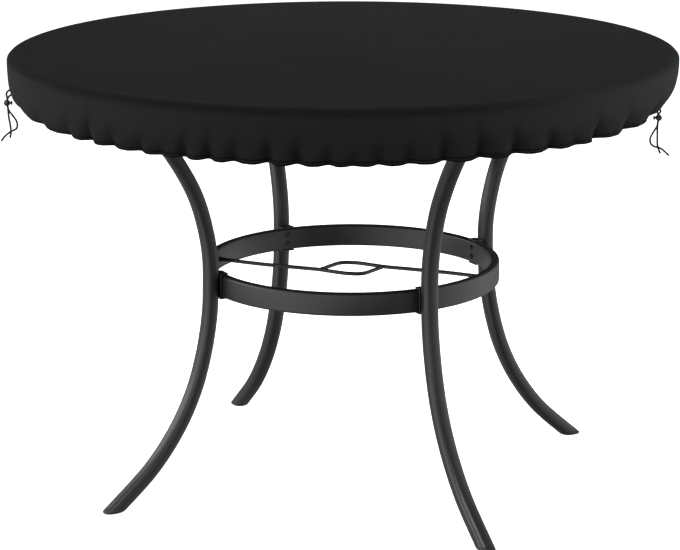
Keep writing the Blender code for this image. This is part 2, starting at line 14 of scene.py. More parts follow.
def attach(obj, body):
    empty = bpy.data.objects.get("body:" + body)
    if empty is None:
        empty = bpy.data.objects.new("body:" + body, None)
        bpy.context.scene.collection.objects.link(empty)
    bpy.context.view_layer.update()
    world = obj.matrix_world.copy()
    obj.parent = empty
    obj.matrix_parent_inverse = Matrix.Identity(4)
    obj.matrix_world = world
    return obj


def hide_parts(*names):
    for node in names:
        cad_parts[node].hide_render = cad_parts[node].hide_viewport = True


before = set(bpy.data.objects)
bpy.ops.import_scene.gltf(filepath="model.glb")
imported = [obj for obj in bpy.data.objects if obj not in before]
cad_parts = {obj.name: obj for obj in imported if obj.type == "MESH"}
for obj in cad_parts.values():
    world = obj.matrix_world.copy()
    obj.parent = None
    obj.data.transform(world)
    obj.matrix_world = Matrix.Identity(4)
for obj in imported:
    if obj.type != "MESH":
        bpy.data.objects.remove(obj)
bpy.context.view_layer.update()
scene = bpy.context.scene
ROOT = "root"

# ---- sizes, as in the CAD

GAP = 0.0003
COVER_RADIUS = 0.5336
TABLE_HEIGHT = 0.7120
TABLE_THICKNESS = 0.0220
CLOTH = 0.0016
COVER_TOP = TABLE_HEIGHT + GAP + CLOTH
# The cloth turns over the rim in a soft arc, wider than it is high.
RIM_ARC_WIDTH = 0.0150
RIM_ARC_HEIGHT = 0.0078

# Skirt below the rim: inset from the rim, drop below the cover's top, thickness of the cloth.
SKIRT_ROWS = (
    (0.0008, 0.03, 0.0016), (0.0042, 0.05, 0.0016), (0.0118, 0.067, 0.0018), (0.0225, 0.0795, 0.003),
)
# The hem's rolled edge: inset and drop.
HEM_ROLL = ((0.0295, 0.0846), (0.0326, 0.0864), (0.035, 0.0846), (0.0343, 0.0816))
# How far the hem lifts where a fold draws it in, as a share of the fold's depth.
HEM_LIFT = 0.30
# What the cord does at the sides: drop, how far the skirt goes in at the right, and out at the left.
SIDE_LEVELS = (
    (0.0, 0.0, 0.0), (0.03, 0.0004, 0.0004), (0.05, 0.0015, 0.002),
    (0.067, 0.0045, 0.004), (0.0795, 0.002, 0.005), (0.0864, -0.0015, 0.0052),
)
# How much lower the hem hangs in front than at the sides, and how fast that fades sideways.
FRONT_DROP = 0.0040
FRONT_DROP_POWER = 4

# Folds of the hem: where the cloth dips in, how deep, and how far up the skirt the dip reaches.
FRONT_FOLDS = (
    (-168.0, 0.005, 0.45), (-155.9, 0.0055, 0.5), (-145.1, 0.0055, 0.5), (-138.8, 0.007, 0.65),
    (-132.9, 0.006, 0.5), (-126.4, 0.0055, 0.45), (-122.0, 0.003, 0.35), (-117.6, 0.006, 0.55),
    (-113.0, 0.007, 0.6), (-108.5, 0.006, 0.5), (-102.6, 0.008, 0.6), (-97.6, 0.007, 0.6),
    (-92.4, 0.0055, 0.45), (-88.4, 0.003, 0.35), (-84.2, 0.0055, 0.45), (-79.0, 0.0055, 0.45),
    (-73.0, 0.0075, 0.65), (-66.5, 0.008, 0.65), (-59.7, 0.008, 0.6), (-52.4, 0.0065, 0.5),
    (-46.8, 0.003, 0.35), (-41.0, 0.008, 0.6), (-31.0, 0.007, 0.6), (-18.3, 0.007, 0.6),
    (-2.5, 0.0055, 0.5),
)
# Folds behind: how many, and each column's middle, its unevenness, and the pace and start of that.
BACK_FOLD_COUNT = 27
BACK_FOLDS = ((0.0, 1.3, 2.4, 0.0), (0.0058, 0.0020, 1.7, 0.6), (0.52, 0.12, 2.1, 0.0))
# The higher this power, the narrower the dips between the folds' rounded lobes.
DIP_SHARPNESS = 1.3

FRAME_SHIFT = (0.0135, 0.0090)
LEG_AZIMUTHS = {"front_right": -61.9, "back_right": 28.1, "back_left": 118.1, "front_left": 208.1}
# Leg's centre line: height and distance from the frame's axis.
LEG_LINE = (
    (-0.03, 0.466), (0.0, 0.433), (0.06, 0.3655), (0.12, 0.3188), (0.18, 0.2878),
    (0.24, 0.269), (0.3, 0.258), (0.35, 0.255), (0.4, 0.2556), (0.45, 0.264),
    (0.5, 0.2795), (0.55, 0.306), (0.6, 0.3405), (0.66, 0.3872), (0.72, 0.4365),
)
LEG_WIDTH = 0.0264
LEG_DEPTH = 0.0240
LEG_SQUARENESS = 2.5
FOOT_HEIGHT = 0.0080
FOOT_ROUNDING = 0.0032
FLANGE_RADIUS = 0.0310
FLANGE_THICKNESS = 0.0040

HOOP_RADIUS = 0.2410
HOOP_DEPTH = 0.0140
HOOP_HEIGHT = 0.0365
HOOP_MIDDLE = 0.3496
HOOP_CORNER = 0.0040
SADDLE_WIDTH = 0.0230
SADDLE_LIP = 0.0120
SADDLE_LIP_THICKNESS = 0.0024
BOLT_RADIUS = 0.0042
BOLT_HEAD = 0.0030
BOLT_SPACING = 0.0150

BRACE_AZIMUTH = -22.0
BRACE_HEIGHT = HOOP_MIDDLE - 0.0008
ROD_RADIUS = 0.0032
ROD_OFFSET = 0.0230
# A rod's line: along the brace and across it.
ROD_LINE = (
    (-0.15, -0.029), (-0.08, -0.0285), (-0.05, -0.028), (-0.03, -0.031), (0.0, -0.0358),
    (0.0135, -0.0345), (0.025, -0.031), (0.033, -0.0215), (0.0375, -0.004), (0.0405, 0.01),
    (0.0417, 0.0245),
)

LOCK_BALL_RADIUS = 0.0052
LOCK_BALL_SHIFT = 0.0009
LOCK_SLOT_LENGTH = 0.0068
LOCK_SLOT_WIDTH = 0.0038
BUTTON_RADIUS = 0.0032
BUTTON_STEM_RADIUS = 0.0017
BUTTON_STEM = 0.0006
BUTTON_HEAD = 0.0026
LOCKS = {
    "left": {"place": (-0.5300, -0.0690, 0.6385), "inward": 1.0},
    "right": {"place": (0.4960, -0.0863, 0.6155), "inward": -1.0},
}
# Routes of the strands, in millimetres from the lock's place: right, away from the front, up.
CORD_ROUTES = {
    "left_straight": (
        (4.3, 2.6, 20.2), (1.9, 2.3, 19.1), (-1.3, 1.8, 15.0), (-0.9, 1.6, 10.0), (0.0, 1.5, 5.5),
        (0.0, 1.5, 0.0), (0.0, 1.5, -5.5), (0.5, 1.6, -13.9), (1.1, 2.0, -23.7), (2.7, 2.6, -35.0),
        (3.5, 3.2, -44.7), (3.1, 3.0, -51.2), (1.6, 2.6, -56.9),
    ),
    "left_curved": (
        (6.8, -3.4, 14.0), (5.3, -3.5, 12.9), (1.9, -2.2, 9.2), (0.1, -1.5, 5.5), (0.0, -1.5, 0.0),
        (0.1, -1.5, -5.5), (2.7, -1.5, -13.1), (8.0, -1.4, -20.4), (12.8, -1.2, -27.7),
        (14.6, -1.0, -35.0), (12.4, -0.8, -41.5), (4.1, -0.6, -45.7), (-1.7, -0.8, -49.9),
        (-7.4, -1.2, -55.2), (-11.8, -1.6, -61.4),
    ),
    "right_straight": (
        (-2.9, 1.8, 11.0), (-1.5, 1.7, 8.4), (-0.1, 1.5, 5.5), (0.0, 1.5, 0.0), (-0.2, 1.5, -5.5),
        (-0.6, 1.6, -16.2), (-0.3, 2.2, -28.4), (0.0, 3.0, -41.5), (1.4, 3.4, -48.1),
        (3.0, 3.2, -53.0), (5.4, 3.0, -58.3),
    ),
    "right_curved": (
        (2.1, -2.2, 13.5), (3.4, -2.1, 11.0), (2.8, -1.9, 9.2), (1.2, -1.6, 7.4), (0.1, -1.5, 5.6),
        (0.0, -1.5, 0.0), (-0.2, -1.5, -5.5), (-1.7, -1.5, -13.3), (-5.8, -1.4, -20.4),
        (-9.9, -1.2, -27.7), (-12.0, -1.0, -34.3), (-10.9, -0.8, -41.0), (-6.5, -0.6, -45.2),
        (0.0, -0.4, -47.6), (5.4, -0.4, -49.1), (11.7, -0.8, -54.1), (18.7, -1.2, -60.8),
    ),
}

# ---- sizes of the scene's own detail

COVER_COLUMNS = 1200
# The top panel's rings: wide ones at these radii, then close ones from there to the rim.
TOP_MIDDLE_RADII = (0.012, 0.05, 0.11, 0.18, 0.25, 0.32, 0.38)
TOP_RINGS = 14
TOP_RINGS_START = 0.42
# Its underside and rounded edge: depths as shares of the cloth, and degrees past its end.
UNDERSIDE = 0.55
TOP_EDGE = {"depth": 0.3, "past": 4.0}
# Its slight waves where it is pulled taut over the rim: depth, start and growth as shares of the
# radius, and each wave's number, phase and strength.
RIPPLE = {"depth": 0.00016, "start": 0.80, "growth": 0.17}
RIPPLE_WAVES = ((17, 0.7, 1.0), (29, 2.1, 0.7), (7, 0.0, 0.5))
# The top panel laps over the skirt at the seam: angles on the rim's arc, above the horizontal.
TOP_PANEL_END = 38.0
SKIRT_START = 62.0
LAP_DEPTH = 0.0009
# The skirt's first rings, out from under the lap: share of its depth, first and last angle, number.
LAP_RINGS = ((1.0, SKIRT_START, 46.0, 3), (0.85, 36.0, 36.0, 1), (0.35, 24.0, 24.0, 1), (0.0, 12.0, 0.0, 3))
# In front the cloth tucks in just under the rim: drops where the tuck starts, is full, and is gone.
TUCK = {"start": 0.0045, "full": 0.0155, "end": 0.0480, "depth": 0.0026}
TUCK_AZIMUTHS = {"left_end": -158.0, "left_full": -138.0, "right_full": -72.0, "right_end": -46.0}
# Trough of the hem's channel, above the rolled edge.
CHANNEL_LINE = {"above_edge": 0.0082, "half_width": 0.0013, "depth": 0.0021}
# A narrow valley in each fold's dip: its part of the fold's depth, and its half width in degrees.
VALLEY_DEPTH = 0.42
VALLEY_WIDTH = 0.72
# The folds hang straight down, so they lean round the skirt as it widens: how much, and how softly
# that ends at the sides.
FOLD_LEAN = 1.6
FOLD_LEAN_SOFTNESS = 0.20
# Rings of the skirt's outside: their step, the finer step near the hem, and how far up that goes.
RING_STEP = 0.0028
HEM_RING_STEP = 0.0006
HEM_ZONE = 0.0110
# Drop at which the skirt still hangs straight below the rim.
STRAIGHT_DROP = 0.016
# Fine level ridges where the gathers press the hem's channel: pitch, depth, and height of the zone.
RIDGES = {"pitch": 0.0046, "depth": 0.00035, "zone": 0.0180}
# Painted shade, darker colour on the cloth in the folds' valleys, under the rim, towards the hem and at its
# edge: how much, in each place.
SHADE_VALLEY = 0.62
SHADE_VALLEY_WIDTH = 1.0
# Fold's depth that gives the full shade, and how much further up than the fold the shade reaches.
SHADE_FULL_DEPTH = 0.006
SHADE_REACH = 1.5
SHADE_HEM = {"zone": 0.0200, "amount": 0.20}
SHADE_RIM = {"drop": 0.0062, "half_width": 0.0052, "amount": 0.45, "behind": 0.25}
SHADE_EDGE = 0.0042
# Small creases between the main folds: azimuth, depth, width, how far up, and their lean sideways.
SMALL_CREASES = (
    (-171.5, 0.0009, 1.2, 0.3, 1.0), (-162.3, 0.0012, 1.4, 0.38, -1.6), (-150.2, 0.001, 1.1, 0.34, 1.4),
    (-142.2, 0.0012, 0.9, 0.42, 0.8), (-135.4, 0.0011, 0.8, 0.36, -1.0), (-129.8, 0.001, 0.8, 0.3, 1.2),
    (-119.9, 0.0012, 0.7, 0.4, 0.9), (-111.1, 0.001, 0.7, 0.32, -0.8), (-105.9, 0.0013, 0.8, 0.44, 1.1),
    (-99.9, 0.001, 0.7, 0.35, -0.7), (-94.6, 0.0009, 0.7, 0.3, 0.6), (-86.5, 0.0011, 0.7, 0.38, -0.9),
    (-81.4, 0.001, 0.7, 0.33, 0.8), (-76.3, 0.0012, 0.8, 0.42, -1.2), (-69.5, 0.0013, 0.8, 0.45, 1.0),
    (-63.3, 0.0011, 0.8, 0.4, -1.0), (-56.2, 0.0012, 0.9, 0.38, 1.3), (-49.5, 0.0009, 0.8, 0.3, -0.8),
    (-44.0, 0.001, 0.8, 0.35, 0.9), (-36.3, 0.0013, 1.1, 0.42, -1.5), (-25.0, 0.0012, 1.2, 0.4, 1.6),
    (-10.8, 0.0011, 1.3, 0.36, -1.2),
)
CREASE_STEEPNESS = 1.6
# Creases behind: how many, over how many degrees, and the same four values for each column.
BACK_CREASE_COUNT = 26
BACK_CREASE_SPAN = 186.0
BACK_CREASES = (
    (1.0, 1.8, 3.1, 0.0), (0.0011, 0.0003, 2.3, 0.0), (1.0, 0.2, 1.9, 0.0), (0.36, 0.07, 2.7, 0.0),
    (0.0, 1.4, 1.3, 0.0),
)
# Puckers along the hem: how many go round, how deep, and how far above the edge they fade out.
PUCKERS = ((233, 0.00032), (317, 0.00024))
PUCKER_FADE = 0.0200

# The drawstring's braid: how far it goes into the hem, its ridges, and the mesh's steps.
CORD_IN_HEM = 0.0025
BRAID_DIAMETER = 0.0032
BRAID_CARRIERS = 4
BRAID_PITCH = 0.0034
BRAID_RELIEF = 0.085
BRAID_STEP = 0.00042
BRAID_SIDES = 24
# A strand's domed tips: rings there as shares of its radius, and the smallest ring.
TIP_RINGS = (0.0, 0.06, 0.18, 0.36, 0.6, 0.85)
TIP_SMALLEST = 0.04
# A lock's groove, as shares of the ball's radius, and its depth.
LOCK_GROOVE = {"height": 0.55, "half_width": 0.06, "depth": 0.00035}

LEG_RINGS = 76
LEG_SIDES = 40
# Height over which a leg's rings turn from level at its ends to square to the tube.
LEG_LEVEL_ZONE = LEG_DEPTH * 0.9
# The end cap's upper rim: how far below its top, and inset.
CAP_RIM = ((0.0006, 0.0), (0.0002, 0.0004))
HOOP_COLUMNS = 256
HOOP_CORNER_POINTS = 8
# Angle on the leg's outline where a saddle's plate meets it.
SADDLE_MEETS_LEG = 75.0
SADDLE_BEVEL = 0.0006
# A bolt head's straight side and flat face, as shares, and the sizes of its socket.
BOLT_SIDE = 0.55
BOLT_FACE = 0.62
BOLT_SOCKET = {"radius": 0.0022, "floor": 0.0019, "depth": 0.0012}
ROD_POINTS = 110
ROD_SIDES = 20
# Weld beads on a rod, at the other rod and at the hoop: height and length.
ROD_WELD = (0.0011, 0.004)
HOOP_WELD = (0.0012, 0.0035)

CAMERA = {
    "place": (0.0, -4.10, 1.3783),
    "pitch": 14.19,
    "yaw": -0.08,
    "roll": -0.15,
    "focal_pixels": 2590.0,
    "shift_pixels": -1.3,
}
IMAGE_WIDTH = 680.0
SENSOR = 36.0

# The cloth's yarn, its darkest and lightest colour, and the near-black colour of its painted shade.
YARN = 0.0007
CLOTH_TONES = ((0.0163, 0.0163, 0.0166), (0.0187, 0.0187, 0.0190))
PAINTED_SHADE_COLOUR = (0.0020, 0.0020, 0.0021)
CORD_COLOURS = ((0.004,) * 3, (0.012,) * 3)
# Other finishes: darkest and lightest colour, lowest and highest roughness, and a plastic's grain.
FINISHES = {
    "lock_black": ((0.008,) * 3, (0.014,) * 3, 0.40, 0.50, 700.0),
    "foot_cap_black": ((0.008,) * 3, (0.014,) * 3, 0.55, 0.68, 900.0),
    "powder_coat_black": ((0.0165, 0.0165, 0.0168), (0.0200, 0.0200, 0.0203), 0.36, 0.43),
    "bolt_black": ((0.014,) * 3, (0.020,) * 3, 0.28, 0.36),
    "table_top_black": ((0.014, 0.014, 0.0145), (0.018, 0.018, 0.0185), 0.42, 0.52),
}

FLOOR_RADIUS = 26.0
FLOOR_GLOW = 1.0
# Light of the room, as soft lobes: direction of the middle, cosine at the lobe's edge, strength.
SKY = {
    "front_below": ((0.0, -0.96, -0.28), 0.3, 0.05),
    "left_front": ((-0.75, -0.66, 0.0), 0.6, 1.75),
    "left_below": ((-0.85, -0.30, -0.40), 0.5, 0.32),
    "right": ((1.0, 0.0, 0.05), 0.5, 1.21),
    "right_back_below": ((0.65, 0.70, -0.28), 0.7, 0.30),
    "left_back_below": ((-0.65, 0.70, -0.28), 0.7, 0.45),
    "below": ((0.0, 0.0, -1.0), 0.0, 0.28),
}
# Soft boxes: name, place, what it is aimed at, width, depth, power, and whether it gives light
# to surfaces or is seen in their gloss.
LIGHTS = (
    ("soft_right", (3.4, -0.2, 1.9), (0.0, -0.2, 0.4), 2.2, 2.2, 143.7, "light"),
    ("soft_left", (-3.3, -0.4, 2.2), (0.0, -0.1, 0.5), 1.2, 1.2, 20.4, "light"),
    ("soft_front", (0.0, -3.8, 2.8), (0.0, 0.0, 0.6), 2.4, 1.2, 1.0, "light"),
    ("gloss_right", (3.4, -0.2, 1.9), (0.0, -0.2, 0.4), 2.4, 2.4, 24.0, "gloss"),
    ("soft_back", (0.0, 2.2, 2.0), (0.0, 0.3, 0.7), 1.2, 1.2, 34.0, "light"),
    ("gloss_left", (-3.3, 0.2, 1.4), (0.0, 0.0, 0.4), 4.4, 2.0, 105.0, "gloss"),
    ("gloss_front", (0.2, -4.0, 0.5), (0.0, -0.3, 0.4), 3.6, 0.9, 26.0, "gloss"),
    ("gloss_above", (-0.6, -1.7, 2.9), (0.1, -0.2, 0.4), 1.2, 1.2, 65.0, "gloss"),
)


# ---- camera

def make_camera():
    yaw, pitch, roll = (math.radians(CAMERA[key]) for key in ("yaw", "pitch", "roll"))
    ahead = Vector((math.sin(yaw) * math.cos(pitch), math.cos(yaw) * math.cos(pitch), -math.sin(pitch)))
    right = Vector((math.cos(yaw), -math.sin(yaw), 0.0))
    up = right.cross(ahead)
    turned_right = math.cos(roll) * right + math.sin(roll) * up
    turned_up = -math.sin(roll) * right + math.cos(roll) * up
    data = bpy.data.cameras.new("camera")
    data.sensor_width = SENSOR
    data.lens = CAMERA["focal_pixels"] * SENSOR / IMAGE_WIDTH
    data.shift_y = CAMERA["shift_pixels"] / IMAGE_WIDTH
    data.clip_end = 60.0
    camera = bpy.data.objects.new("camera", data)
    matrix = Matrix.Identity(4)
    for i in range(3):
        matrix[i][0], matrix[i][1], matrix[i][2] = turned_right[i], turned_up[i], -ahead[i]
        matrix[i][3] = CAMERA["place"][i]
    camera.matrix_world = matrix
    scene.collection.objects.link(camera)
    scene.camera = camera


# ---- helpers

def link(data, material, replaced):
    """Add a mesh as a piece that rides on the part and stands for a CAD node."""
    piece = bpy.data.objects.new(data.name, data)
    scene.collection.objects.link(piece)
    data.materials.append(material)
    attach(piece, ROOT)
    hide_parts(replaced)
    return piece


def grid_mesh(name, rings, closed_ends=False, uv=None, loop=False):
    """Mesh from closed rings of points, an array of shape (rings, points, 3).

    A loop's last ring is joined to its first. uv holds places round a ring and along a loop's rings.
    """
    rows, columns = rings.shape[:2]
    row = np.arange(rows if loop else rows - 1)[:, None]
    column = np.arange(columns)
    following = (column + 1) % columns
    above = (row + 1) % rows
    faces = np.stack([row * columns + column, row * columns + following,
                      above * columns + following, above * columns + column], axis=-1)
    polygons = faces.reshape(-1, 4).tolist()
    if closed_ends:
        polygons.append(list(range(columns))[::-1])
        polygons.append([(rows - 1) * columns + i for i in range(columns)])
    mesh = bpy.data.meshes.new(name)
    mesh.from_pydata(rings.reshape(-1, 3).tolist(), [], polygons)
    if uv is not None:
        left, right, lower, upper = uv[0][:-1], uv[0][1:], uv[1][:-1, None], uv[1][1:, None]
        corners = np.broadcast_arrays(left, lower, right, lower, right, upper, left, upper)
        layer = mesh.uv_layers.new(name="cloth")
        layer.data.foreach_set("uv", np.stack(corners, axis=-1).astype(np.float32).ravel())
    return tidy_mesh(mesh)


def tidy_mesh(mesh, angle=50.0):
    shape = bmesh.new()
    shape.from_mesh(mesh)
    bmesh.ops.recalc_face_normals(shape, faces=shape.faces)
    shape.to_mesh(mesh)
    shape.free()
    mesh.shade_smooth()
    mesh.set_sharp_from_angle(angle=math.radians(angle))
    return mesh


def distances(points):
    """Distance along a line of points, at each of them."""
    return np.concatenate([[0.0], np.cumsum(np.linalg.norm(np.diff(points, axis=0), axis=1))])


def at_distances(points, wanted):
    travelled = distances(points)
    return np.stack([np.interp(wanted, travelled, column) for column in points.T], axis=1)


def along_line(points):
    """Unit directions along a line of points."""
    along = np.gradient(points, axis=0)
    return along / np.linalg.norm(along, axis=1)[:, None]


def smooth_line(points, count):
    """Points evenly apart on a smooth curve through the given ones, as an array."""
    knots = np.array(points, float)
    padded = np.vstack([2 * knots[0] - knots[1], knots, 2 * knots[-1] - knots[-2]])
    fine = []
    for i in range(1, len(padded) - 2):
        p0, p1, p2, p3 = padded[i - 1:i + 3]
        t = np.linspace(0.0, 1.0, 24, endpoint=False)[:, None]
        fine.append(0.5 * (2 * p1 + (p2 - p0) * t + (2 * p0 - 5 * p1 + 4 * p2 - p3) * t ** 2
                           + (3 * p1 - p0 - 3 * p2 + p3) * t ** 3))
    fine = np.vstack([*fine, knots[-1:]])
    return at_distances(fine, np.linspace(0.0, distances(fine)[-1], count))


def lathe(profile, count):
    """Closed shape turned about Z from (radius, height) points that start and end on the axis."""
    shape = bmesh.new()
    rings = []
    for radius, height in profile:
        if radius <= 0:
            rings.append([shape.verts.new((0.0, 0.0, height))])
        else:
            rings.append([shape.verts.new((radius * math.cos(2 * math.pi * i / count),
                                           radius * math.sin(2 * math.pi * i / count), height))
                          for i in range(count)])
    for lower, upper in zip(rings, rings[1:]):
        for i in range(count):
            j = (i + 1) % count
            corners = []
            for corner in (lower[i % len(lower)], lower[j % len(lower)],
                           upper[j % len(upper)], upper[i % len(upper)]):
                if corner not in corners:
                    corners.append(corner)
            if len(corners) > 2:
                shape.faces.new(corners)
    return shape


def mesh_from(shape, name, angle=40.0):
    mesh = bpy.data.meshes.new(name)
    shape.to_mesh(mesh)
    shape.free()
    return tidy_mesh(mesh, angle)


def rounded(points, radius, steps=4):
    """Round the corners of an open line of 2-D points, leaving both its ends."""
    result = [points[0]]
    for before, corner, after in zip(points, points[1:], points[2:]):
        corner_at = Vector(corner)
        to_before, to_after = Vector(before) - corner_at, Vector(after) - corner_at
        cut = min(radius, to_before.length * 0.49, to_after.length * 0.49)
        start = corner_at + to_before.normalized() * cut
        end = corner_at + to_after.normalized() * cut
        for i in range(steps + 1):
            t = i / steps
            point = start * (1 - t) ** 2 + corner_at * 2 * t * (1 - t) + end * t ** 2
            result.append((point.x, point.y))
    result.append(points[-1])
    return result


def frame_turn(azimuth):
    """Placement at the frame's own axis, turned so that X points along the azimuth."""
    shift = Matrix.Translation((*FRAME_SHIFT, 0.0))
    return shift @ Matrix.Rotation(math.radians(azimuth), 4, "Z")


def facing(azimuth, radius, height):
    """Placement on the frame whose X axis points away from the frame's own axis."""
    return frame_turn(azimuth) @ Matrix.Translation((radius, 0.0, height))


# ---- materials

class Nodes:
    """A node tree with a few short ways to add nodes."""

    def __init__(self, tree):
        self.tree = tree

    def node(self, kind, inputs=None, **settings):
        made = self.tree.nodes.new(kind)
        for key, value in settings.items():
            setattr(made, key, value)
        for key, value in (inputs or {}).items():
            self.put(made, key, value)
        return made

    def put(self, node, key, value):
        if isinstance(value, bpy.types.NodeSocket):
            self.tree.links.new(value, node.inputs[key])
        else:
            node.inputs[key].default_value = value

    def math(self, operation, first, second=None):
        made = self.tree.nodes.new("ShaderNodeMath")
        made.operation = operation
        self.put(made, 0, first)
        if second is not None:
            self.put(made, 1, second)
        return made.outputs[0]

    def noise(self, place, scale, detail=3.0, roughness=0.5):
        """Cloudy values, with about this many waves to a metre."""
        return self.node("ShaderNodeTexNoise", {"Vector": place, "Scale": scale, "Detail": detail,
                                                "Roughness": roughness}).outputs["Fac"]

    def spread(self, value, low, high, from_low=0.3, from_high=0.7):
        return self.node("ShaderNodeMapRange", {"Value": value, "From Min": from_low, "From Max": from_high,
                                                "To Min": low, "To Max": high}).outputs["Result"]

    def mix(self, amount, first, second):
        """Blend of two colours, each three numbers or a node's output."""
        made = self.node("ShaderNodeMix", {"Factor": amount}, data_type="RGBA")
        for key, colour in ((6, first), (7, second)):
            self.put(made, key, colour if isinstance(colour, bpy.types.NodeSocket) else (*colour, 1.0))
        return made.outputs[2]

    def place(self):
        return self.node("ShaderNodeTexCoord").outputs["Object"]

    def bump(self, height, distance, strength, before=None):
        made = self.node("ShaderNodeBump", {"Height": height, "Distance": distance, "Strength": strength})
        if before is not None:
            self.put(made, "Normal", before)
        return made.outputs["Normal"]


class Finish(Nodes):
    """A material and its shader."""

    def __init__(self, name):
        self.material = bpy.data.materials.new(name)
        self.material.use_nodes = True
        super().__init__(self.material.node_tree)

    def base(self, **values):
        for key, value in values.items():
            self.put(self.tree.nodes["Principled BSDF"], key.replace("_", " "), value)


def cloth_material():
    """Black coated plain weave: a fine grid of yarns, a little cloudy, and darker where shade is painted on
    its points.
    """
    finish = Finish("cover_cloth_black")
    place = finish.place()
    flat = finish.node("ShaderNodeUVMap", uv_map="cloth").outputs["UV"]
    apart = finish.node("ShaderNodeSeparateXYZ", {"Vector": flat})
    wobble = finish.spread(finish.noise(place, 60.0), -0.25, 0.25, 0.0, 1.0)
    across, down = (finish.math("SINE", finish.math(
        "ADD", finish.math("MULTIPLY", apart.outputs[axis], math.pi / YARN), wobble)) for axis in "XY")
    weave = finish.math("MULTIPLY", across, down)
    slub = finish.noise(place, 900.0, 2.0)
    shade = finish.node("ShaderNodeAttribute", attribute_name="shade").outputs["Fac"]
    cloudy = finish.noise(place, 2.6, 4.0, 0.55)
    patch = finish.noise(place, 14.0, 4.0, 0.6)
    tone = finish.math("ADD", finish.spread(cloudy, 0.0, 0.6), finish.spread(patch, 0.0, 0.4))
    woven = finish.bump(slub, 0.00005, 0.35, finish.bump(weave, 0.00006, 0.55))
    # Painted shade: the points' shade darkens the colour towards the near-black shade colour.
    finish.base(Base_Color=finish.mix(shade, finish.mix(tone, *CLOTH_TONES), PAINTED_SHADE_COLOUR),
                Roughness=finish.spread(patch, 0.72, 0.80), Specular_IOR_Level=0.04,
                Normal=finish.bump(patch, 0.0002, 0.10, woven))
    return finish.material


def cord_material():
    """Braided polyester: its ridges are in the mesh, and this adds the fibres and their dull sheen."""
    finish = Finish("drawstring_black")
    place = finish.place()
    fibre = finish.noise(place, 2600.0, 2.0)
    cloudy = finish.noise(place, 120.0, 2.0)
    tone = finish.math("ADD", finish.spread(fibre, 0.0, 0.6), finish.spread(cloudy, 0.0, 0.4))
    finish.base(Base_Color=finish.mix(tone, *CORD_COLOURS), Roughness=finish.spread(fibre, 0.66, 0.82),
                Specular_IOR_Level=0.25, Sheen_Weight=0.08, Normal=finish.bump(fibre, 0.00008, 0.5))
    return finish.material


def plastic_material(name):
    dark, light, smoothest, roughest, grain = FINISHES[name]
    finish = Finish(name)
    place = finish.place()
    fine = finish.noise(place, grain, 2.0)
    finish.base(Base_Color=finish.mix(finish.noise(place, 60.0), dark, light),
                Roughness=finish.spread(fine, smoothest, roughest), Normal=finish.bump(fine, 0.00005, 0.4))
    return finish.material


def metal_material(name):
    """Powder coat on steel: a fine orange-peel skin with slightly uneven gloss."""
    dark, light, smoothest, roughest = FINISHES[name]
    finish = Finish(name)
    place = finish.place()
    peel = finish.noise(place, 420.0, 2.0, 0.4)
    cloudy = finish.noise(place, 5.0, 3.0)
    speck = finish.noise(place, 1800.0, 1.0)
    finish.base(Base_Color=finish.mix(finish.spread(cloudy, 0.0, 1.0), dark, light),
                Roughness=finish.spread(cloudy, smoothest, roughest), Specular_IOR_Level=0.4,
                Normal=finish.bump(speck, 0.00003, 0.25, finish.bump(peel, 0.00012, 0.35)))
    return finish.material


# ---- cover

def uneven_rows(columns, start, span, parts):
    """Rows for the back, at parts of a span of azimuths, each value uneven in its own way."""
    made = []
    for k, part in enumerate(parts):
        azimuth, *others = (middle + uneven * math.sin(pace * k + phase)
                            for middle, uneven, pace, phase in columns)
        made.append((start + span * part + azimuth, *others))
    return made


def all_folds():
    """Azimuths, depths and reaches of the folds, as three arrays."""
    start = FRONT_FOLDS[-1][0]
    span = FRONT_FOLDS[0][0] + 360.0 - start
    parts = [(k + 1) / (BACK_FOLD_COUNT + 1) for k in range(BACK_FOLD_COUNT)]
    return np.array([*FRONT_FOLDS, *uneven_rows(BACK_FOLDS, start, span, parts)]).T


def all_small_creases():
    """Azimuth, depth, width, reach and lean of each small crease."""
    parts = [(k + 0.5) / BACK_CREASE_COUNT for k in range(BACK_CREASE_COUNT)]
    return [*SMALL_CREASES, *uneven_rows(BACK_CREASES, 0.0, BACK_CREASE_SPAN, parts)]


def fold_depths(degrees):
    """Depth of the folds at the hem, and their reach, at each azimuth."""
    azimuths, depths, reaches = all_folds()
    turned = (degrees - azimuths[0]) % 360.0 + azimuths[0]
    index = np.searchsorted(azimuths, turned, side="right") - 1
    following = (index + 1) % len(azimuths)
    width = (azimuths[following] - azimuths[index]) % 360.0
    part = (turned - azimuths[index]) / width
    closeness = (0.5 + 0.5 * np.cos(2 * math.pi * part)) ** DIP_SHARPNESS
    depth = (depths[index] + (depths[following] - depths[index]) * part) * closeness
    return depth, reaches[index] + (reaches[following] - reaches[index]) * part


def valleys(degrees, half_width, power=1.0):
    """Sum of narrow valleys in the folds' dips, each the fold's depth to a power high."""
    total = np.zeros_like(degrees)
    for azimuth, depth, _ in all_folds().T:
        away = (degrees - azimuth + 180.0) % 360.0 - 180.0
        total += depth ** power * np.exp(-(away / half_width) ** 2)
    return total


def ease(value):
    value = np.clip(value, 0.0, 1.0)
    return value * value * (3.0 - 2.0 * value)


def front_window(degrees):
    """1 in front, where the rim's tuck shows, and 0 at the sides and the back."""
    side = TUCK_AZIMUTHS
    window = ease((degrees - side["left_end"]) / (side["left_full"] - side["left_end"]))
    return window * ease((side["right_end"] - degrees) / (side["right_end"] - side["right_full"]))


# Painted shade in a band just below the rim, strongest in front and weaker behind.
def rim_shade(drop, degrees):
    amount = np.exp(-((drop - SHADE_RIM["drop"]) / SHADE_RIM["half_width"]) ** 2)
    behind = SHADE_RIM["behind"]
    return SHADE_RIM["amount"] * amount * (behind + (1.0 - behind) * front_window(degrees))


def keep_shade(mesh, shade):
    """Store each point's painted shade, from 0 to 1, which the cloth's material turns into darker colour."""
    layer = mesh.attributes.new("shade", "FLOAT", "POINT")
    layer.data.foreach_set("value", np.clip(shade, 0.0, 1.0).astype(np.float32).ravel())


